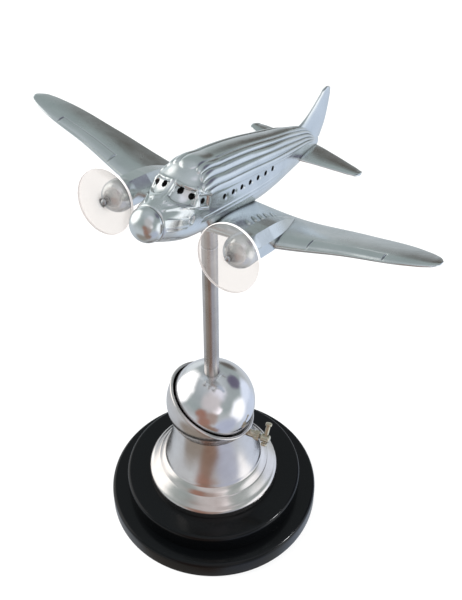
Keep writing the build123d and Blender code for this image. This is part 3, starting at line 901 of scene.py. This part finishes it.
def glazing(x, y, z):
    """Height of the two sunk panels and of the raised frames round them."""
    side = np.abs(y)
    front = outside_quad(side, z, WINDSCREEN)
    front = np.where((x > 37.5) & (z > 27.0), front, 9.0)
    flank = outside_quad(x, z, SIDE_WINDOW)
    flank = np.where(side > 12.0, flank, 9.0)
    height = np.zeros_like(x)
    for distance in (front, flank):
        height += -1.15 * (1 - step_up(distance, -0.35, 0.05)) + 0.45 * ridge(distance - 0.7, 0.55)
    return height, np.minimum(front, flank) < 1.0


CABIN_WINDOWS = 7
WINDOW_SPACING = 9.03
FIRST_WINDOW_X = 15.5


def window_places():
    """(x, |y|, z, radius, looks forward) for every drilled window on one side."""
    cabin_xs = [FIRST_WINDOW_X - WINDOW_SPACING * k for k in range(CABIN_WINDOWS)]
    places = [(x, 15.6, 28.4, 1.65, False) for x in cabin_xs]
    places.append((34.9, 15.6, 31.5, 1.75, False))
    places.append((43.0, 5.2, 36.2, 1.85, True))
    places.append((41.0, 10.8, 34.5, 1.85, True))
    return places


def fuselage_piece():
    """The fuselage skin on an even grid, with relief, sunk panels and drilled windows."""
    count = 336
    xs = np.concatenate([np.arange(-121.0, -60.0, 0.7), np.arange(-60.0, SEAM_X - 0.01, 0.42), [SEAM_X]])
    grid = np.zeros((len(xs), count, 3))
    arcs = np.zeros((len(xs), count))
    totals = np.zeros(len(xs))
    for i, x in enumerate(xs):
        y, z, total = section_loop(x, count)
        grid[i, :, 0] = x
        grid[i, :, 1] = y
        grid[i, :, 2] = z
        arcs[i] = np.arange(count) / count * total
        totals[i] = total
    normal = surface_normals(grid)
    flags = np.zeros((len(xs), count), bool)
    depth = np.zeros((len(xs), count))
    for wx, wy, wz, radius, forward in window_places():
        for sign in (-1, 1):
            centre = np.array([wx, sign * wy, wz])
            away = np.linalg.norm(grid - centre, axis=2)
            near = away < 3.2 * radius
            nearest = np.argmin(np.where(near, away, 1e9))
            i, k = np.unravel_index(nearest, near.shape)
            axis = normal[i, k]
            shift = centre - grid[i, k]
            centre = grid[i, k] + shift - axis * (shift @ axis)
            offset = grid - centre
            flat = offset - np.einsum("ijk,k->ij", offset, axis)[..., None] * axis
            distance = np.linalg.norm(flat, axis=2)
            ring = near & (np.abs(distance - radius) < 0.24)
            scale = np.where(ring, radius / np.maximum(distance, 1e-6), 1.0)
            grid = grid + flat * (scale - 1.0)[..., None]
            inside = near & (distance < radius - 0.24)
            flags |= inside
            depth = np.maximum(depth, np.where(inside, 3.0, 0.0))
            if not forward and wz < 30.0:
                cove = near & ~inside
                fore = (grid[..., 0] - wx) / radius
                rise = (grid[..., 2] - wz) / radius
                outside = step_up(distance, radius, radius + 0.6)
                dish = ridge(fore + 1.7, 0.7) * ridge(rise + 0.6, 0.9) * outside
                depth = np.where(cove, np.maximum(depth, 0.55 * dish), depth)
    relief = fuselage_relief(grid[..., 0], grid[..., 1], grid[..., 2], arcs, totals[:, None])
    panel, inside = glazing(grid[..., 0], grid[..., 1], grid[..., 2])
    relief = np.where(inside, 0.0, relief) + panel
    grid = grid + normal * (relief - depth)[..., None]
    belly_cut(grid)
    points, faces = loops_to_mesh(grid)
    # Faces inside a window hole take the near-black painted shade as their second material.
    slots = []
    for i in range(len(xs) - 1):
        for k in range(count):
            n = (k + 1) % count
            dark = flags[i, k] or flags[i, n] or flags[i + 1, k] or flags[i + 1, n]
            slots.append(1 if dark else 0)
    slots.extend([0] * (len(faces) - len(slots)))
    casting("cast_fuselage", (points, faces), "fuselage", 50, extra=[painted_hole_shade], slots=slots)


def surface_normals(grid):
    """Outward normals of a grid of loops."""
    along = np.gradient(grid, axis=0)
    around = np.roll(grid, -1, axis=1) - np.roll(grid, 1, axis=1)
    normal = np.cross(around, along)
    length = np.linalg.norm(normal, axis=2, keepdims=True)
    normal = normal / np.maximum(length, 1e-9)
    centre = grid.mean(axis=1, keepdims=True)
    outward = np.sum(normal * (grid - centre)) > 0
    return normal if outward else -normal


def belly_cut(grid):
    """Flatten the underside over the wing so that it sits just above the wing's upper skin."""
    gap = 0.25
    x = grid[..., 0]
    lead, trail, middle, thick = WING[0][1:]
    inside = (x < lead + 1.0) & (x > trail - 1.0)
    fraction = np.clip((lead - x) / (lead - trail), 0.0, 1.0)
    top = middle + thick * profile_height(fraction) + gap
    low = inside & (grid[..., 2] < top)
    grid[..., 2] = np.where(low, top, grid[..., 2])


def nose_cap_piece():
    """Rounded nose, seated against the seam."""
    steps = 32
    bluntness = 0.92
    seam_radius = FUSELAGE[-1][1]
    outline = [(0.0, -4.0), (6.0, -4.0), (6.0, -0.05), (9.7, -0.05)]
    for k in range(1, steps + 1):
        angle = math.pi / 2 * k / steps
        radius = seam_radius * math.cos(angle) ** bluntness if k < steps else 0.0
        outline.append((radius, NOSE_LENGTH * math.sin(angle) ** bluntness))
    place = AIRCRAFT @ turned((SEAM_X, 0, NOSE_Z), ("Y", 90.0))
    casting("nose_cap_dome", lathe(outline, False, 160), "nose_cap", 45, place)


fuselage_piece()
nose_cap_piece()


# ---- tail surfaces ----

def blade(stations, across, height_axis):
    """A thin tapering blade through stations of (height, lead x, trail x, half thickness)."""
    steps = 28
    angle = np.linspace(0, 2 * np.pi, 2 * steps + 1)[:-1]
    loops = []
    for height, lead, trail, half in stations:
        middle = (lead + trail) / 2
        x = middle + (lead - trail) / 2 * np.cos(angle)
        f = np.clip((lead - x) / max(lead - trail, 1e-6), 0, 1)
        fullness = 0.25 + 0.75 * np.clip(profile_height(f) * 2.0, 0, 1)
        thick = half * np.sign(np.sin(angle)) * fullness * np.abs(np.sin(angle)) ** 0.5
        loop = np.zeros((len(angle), 3))
        loop[:, 0] = x
        loop[:, across] = thick
        loop[:, height_axis] = height
        loops.append(loop)
    return loops


def spread(knots, count):
    """Stations interpolated evenly between the first and last knot."""
    heights = np.linspace(knots[0][0], knots[-1][0], count)
    columns = [curve_through([(k[0], k[j]) for k in knots], heights) for j in (1, 2, 3)]
    return [(float(h), float(a), float(b), float(c)) for h, a, b, c in zip(heights, *columns)]


def tail_pieces():
    """The swept fin with its root fillet, and the tailplane with rounded tips."""
    fin = [(22.0, -84.0, -123.0, 3.4), (30.0, -84.5, -126.0, 2.7), (34.0, -87.5, -126.8, 2.2),
           (38.0, -96.0, -127.05, 1.8), (46.0, -106.5, -126.9, 1.5), (52.4, -113.0, -126.1, 1.25),
           (55.3, -116.4, -124.6, 1.0), (56.25, -119.4, -122.6, 0.6)]
    loops = blade(spread(fin, 60), 1, 2)
    casting("cast_fin", loops_to_mesh(loops), "fin", 60)
    half = [(0.0, -86.0, -120.0, 2.6), (6.0, -88.5, -119.6, 2.2), (12.0, -91.0, -118.6, 1.6),
            (30.0, -97.8, -114.8, 1.25), (38.0, -101.2, -112.6, 1.0), (41.0, -103.8, -110.6, 0.8),
            (41.6, -106.0, -108.4, 0.45)]
    stations = spread(half, 56)
    both = [(-h, a, b, c) for h, a, b, c in reversed(stations[1:])] + stations
    loops = blade(both, 2, 1)
    place = AIRCRAFT @ turned((0, 0, 16.5), ("X", -TAIL_OUT_OF_LEVEL))
    casting("cast_tailplane", loops_to_mesh(loops), "tailplane", 60, place)


tail_pieces()


# ---- CAD nodes that stay ----

def finish_cad_nodes():
    """Inner parts keep their CAD shape and get a finished material."""
    finishes = {"friction_ring": fibre, "clamp_pad": nickel}
    for name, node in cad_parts.items():
        material = finishes.get(name, steel)
        node.data.materials.clear()
        node.data.materials.append(material)


finish_cad_nodes()


# ---- stage, light and camera ----

def room_glow():
    """The room as a metal surface sees it: grey-green walls, pale windows, a dark doorway and warm shapes."""
    group = bpy.data.node_groups.new("room_glow", "ShaderNodeTree")
    group.interface.new_socket("Direction", in_out="INPUT", socket_type="NodeSocketVector")
    group.interface.new_socket("Color", in_out="OUTPUT", socket_type="NodeSocketColor")
    nodes = group.nodes
    start = nodes.new("NodeGroupInput")
    end = nodes.new("NodeGroupOutput")
    wobble = add(nodes, "ShaderNodeTexNoise", Scale=3.6, Detail=5.0)
    join(start.outputs[0], wobble.inputs["Vector"])
    centred = add(nodes, "ShaderNodeVectorMath", operation="SUBTRACT")
    centred.inputs[1].default_value = (0.5, 0.5, 0.5)
    join(wobble.outputs["Color"], centred.inputs[0])
    scaled = add(nodes, "ShaderNodeVectorMath", operation="SCALE")
    scaled.inputs["Scale"].default_value = 0.26
    join(centred.outputs[0], scaled.inputs[0])
    bent = add(nodes, "ShaderNodeVectorMath", operation="ADD")
    join(start.outputs[0], bent.inputs[0])
    join(scaled.outputs[0], bent.inputs[1])
    unit = add(nodes, "ShaderNodeVectorMath", operation="NORMALIZE")
    join(bent.outputs[0], unit.inputs[0])
    split = nodes.new("ShaderNodeSeparateXYZ")
    join(unit.outputs[0], split.inputs[0])
    level = add(nodes, "ShaderNodeMath", operation="MULTIPLY_ADD")
    level.inputs[1].default_value = 0.5
    level.inputs[2].default_value = 0.5
    join(split.outputs["Z"], level.inputs[0])
    walls = [(0.0, (0.36, 0.35, 0.35)), (0.15, (0.56, 0.61, 0.67)), (0.33, (0.58, 0.62, 0.66)),
             (0.48, (0.46, 0.49, 0.50)), (0.62, (0.33, 0.38, 0.38)), (0.85, (0.36, 0.40, 0.41)),
             (1.0, (0.50, 0.54, 0.57))]
    colour = ramp(nodes, level.outputs[0], walls)
    # Azimuth and elevation in degrees, radius, width of the soft edge, colour.
    patches = [
        (-169.0, 17.0, 24.0, 16.0, (1.50, 1.50, 1.48)),
        (16.0, -8.0, 16.0, 16.0, (1.20, 1.23, 1.28)),
        (56.0, -6.0, 12.0, 16.0, (0.80, 0.88, 1.02)),
        (55.0, -40.0, 12.0, 20.0, (0.62, 0.70, 0.84)),
        (-24.0, -34.0, 14.0, 18.0, (0.46, 0.50, 0.62)),
        (143.0, 0.0, 8.0, 12.0, (0.72, 0.78, 0.80)),
        (-42.0, 20.0, 5.0, 11.0, (1.35, 1.28, 1.34)),
        (-20.0, 62.0, 10.0, 16.0, (0.80, 0.80, 0.88)),
        (62.0, 32.0, 12.0, 9.0, (0.14, 0.13, 0.19)),
        (105.0, 5.0, 6.0, 10.0, (0.12, 0.11, 0.10)),
        (-62.0, 0.0, 12.0, 14.0, (0.36, 0.28, 0.25)),
        (-58.0, 42.0, 14.0, 20.0, (0.60, 0.57, 0.58)),
        (-84.0, 8.0, 7.0, 11.0, (0.33, 0.18, 0.14)),
        (-76.0, -16.0, 10.0, 10.0, (0.32, 0.18, 0.14)),
        (-68.0, -42.0, 12.0, 12.0, (0.26, 0.17, 0.13)),
        (-110.0, -50.0, 12.0, 14.0, (0.30, 0.27, 0.24)),
    ]
    for azimuth, elevation, radius, soft, tint in patches:
        a = math.radians(azimuth)
        e = math.radians(elevation)
        dot = add(nodes, "ShaderNodeVectorMath", operation="DOT_PRODUCT")
        dot.inputs[1].default_value = (math.cos(a) * math.cos(e), math.sin(a) * math.cos(e), math.sin(e))
        join(unit.outputs[0], dot.inputs[0])
        edge = add(nodes, "ShaderNodeMapRange", interpolation_type="SMOOTHSTEP")
        edge.inputs["From Min"].default_value = math.cos(math.radians(radius + soft))
        edge.inputs["From Max"].default_value = math.cos(math.radians(radius))
        join(dot.outputs["Value"], edge.inputs["Value"])
        colour = mix_colour(nodes, edge.outputs["Result"], colour, tint)
    join(colour, end.inputs[0])
    return group


def stage_floor(group):
    """A plain pale floor. In reflections it shows the room instead, for the polished metal to mirror."""
    mesh = bpy.data.meshes.new("floor")
    reach = 4.0
    corners = [(-reach, -reach, 0), (reach, -reach, 0), (reach, reach, 0), (-reach, reach, 0)]
    mesh.from_pydata(corners, [], [(0, 1, 2, 3)])
    floor = new_object("floor", mesh)
    material, nodes, shader = node_tree("pale_floor")
    grain = object_noise(nodes, 300.0, 3.0)
    join(ramp(nodes, grain, [(0.3, 0.93), (0.8, 0.95)]), shader.inputs["Base Color"])
    set_values(shader, Roughness=0.9, Emission_Color=(1.0, 1.0, 1.0, 1.0), Emission_Strength=0.30)
    seen_in = nodes.new("ShaderNodeNewGeometry")
    onward = add(nodes, "ShaderNodeVectorMath", operation="SCALE")
    onward.inputs["Scale"].default_value = -1.0
    join(seen_in.outputs["Incoming"], onward.inputs[0])
    room = nodes.new("ShaderNodeGroup")
    room.node_tree = group
    join(onward.outputs[0], room.inputs[0])
    glow = nodes.new("ShaderNodeEmission")
    join(room.outputs[0], glow.inputs["Color"])
    ray = nodes.new("ShaderNodeLightPath")
    paper = add(nodes, "ShaderNodeEmission", Color=(1.0, 1.0, 1.0, 1.0), Strength=1.0)
    seen = mix_shader(nodes, 0.8, shader, paper)
    choose = mix_shader(nodes, ray.outputs["Is Glossy Ray"], seen, glow)
    join(choose.outputs[0], nodes["Material Output"].inputs["Surface"])
    mesh.materials.append(material)


def soft_light(name, place, target, size, power, colour):
    """A soft box pointing at target, for the floor and the unpolished parts; metal shows the room instead."""
    data = bpy.data.lights.new(name, "AREA")
    data.shape = "RECTANGLE"
    data.size = size[0]
    data.size_y = size[1]
    data.energy = power
    data.color = colour
    light = new_object(name, data)
    light.location = place
    light.rotation_mode = "QUATERNION"
    light.rotation_quaternion = (Vector(target) - Vector(place)).to_track_quat("-Z", "Y")
    light.visible_glossy = False


def rim_light(names):
    """A small bright window that only the lacquered discs mirror in their rounded edges."""
    soft_light("rim", (1.24, 0.40, 0.75), (0, 0, 0.02), (0.10, 0.26), 9.0, (0.97, 0.98, 1.0))
    light = bpy.data.objects["rim"]
    light.visible_glossy = True
    seen_by = bpy.data.collections.new("rim_receivers")
    for name in names:
        seen_by.objects.link(bpy.data.objects[name])
    light.light_linking.receiver_collection = seen_by


def studio_world(group):
    """The room all round, with a plain pale backdrop where the camera looks straight at it."""
    world = bpy.data.worlds.new("studio")
    bpy.context.scene.world = world
    world.use_nodes = True
    nodes = world.node_tree.nodes
    where = nodes.new("ShaderNodeTexCoord")
    room = nodes.new("ShaderNodeGroup")
    room.node_tree = group
    join(where.outputs["Generated"], room.inputs[0])
    ray = nodes.new("ShaderNodeLightPath")
    colour = mix_colour(nodes, ray.outputs["Is Camera Ray"], room.outputs[0], (0.93, 0.94, 0.95))
    join(colour, nodes["Background"].inputs["Color"])


def place_camera():
    """The camera at the viewing angle of the reference: above, in front and to the port side."""
    turn = math.radians(34.5)
    elevation = math.radians(43.97)
    distance = 654.0
    offset = 12.75
    target = Vector((offset * math.cos(turn), offset * math.sin(turn), 198.9))
    level = math.cos(elevation)
    back = Vector((math.sin(turn) * level, -math.cos(turn) * level, math.sin(elevation)))
    data = bpy.data.cameras.new("camera")
    data.lens = 63.0
    data.sensor_width = 36.0
    data.clip_start = 0.01
    data.clip_end = 50.0
    camera = new_object("camera", data)
    camera.location = (target + back * distance) * MM
    camera.rotation_mode = "QUATERNION"
    camera.rotation_quaternion = (-back).to_track_quat("-Z", "Y")
    bpy.context.scene.camera = camera


glow_of_room = room_glow()
stage_floor(glow_of_room)
studio_world(glow_of_room)
soft_light("key", (-0.7, -0.5, 1.3), (0, 0, 0.2), (0.7, 0.7), 22.0, (1.0, 0.99, 0.97))
soft_light("side", (1.2, -0.3, 0.7), (0, 0, 0.2), (0.5, 0.9), 9.0, (0.93, 0.97, 1.0))
soft_light("back", (0.2, 1.4, 0.9), (0, 0, 0.2), (1.2, 0.5), 12.0, (1.0, 0.97, 0.94))
rim_light(("black_base_lower", "black_base_upper"))
place_camera()
bpy.context.scene.view_settings.view_transform = "Standard"
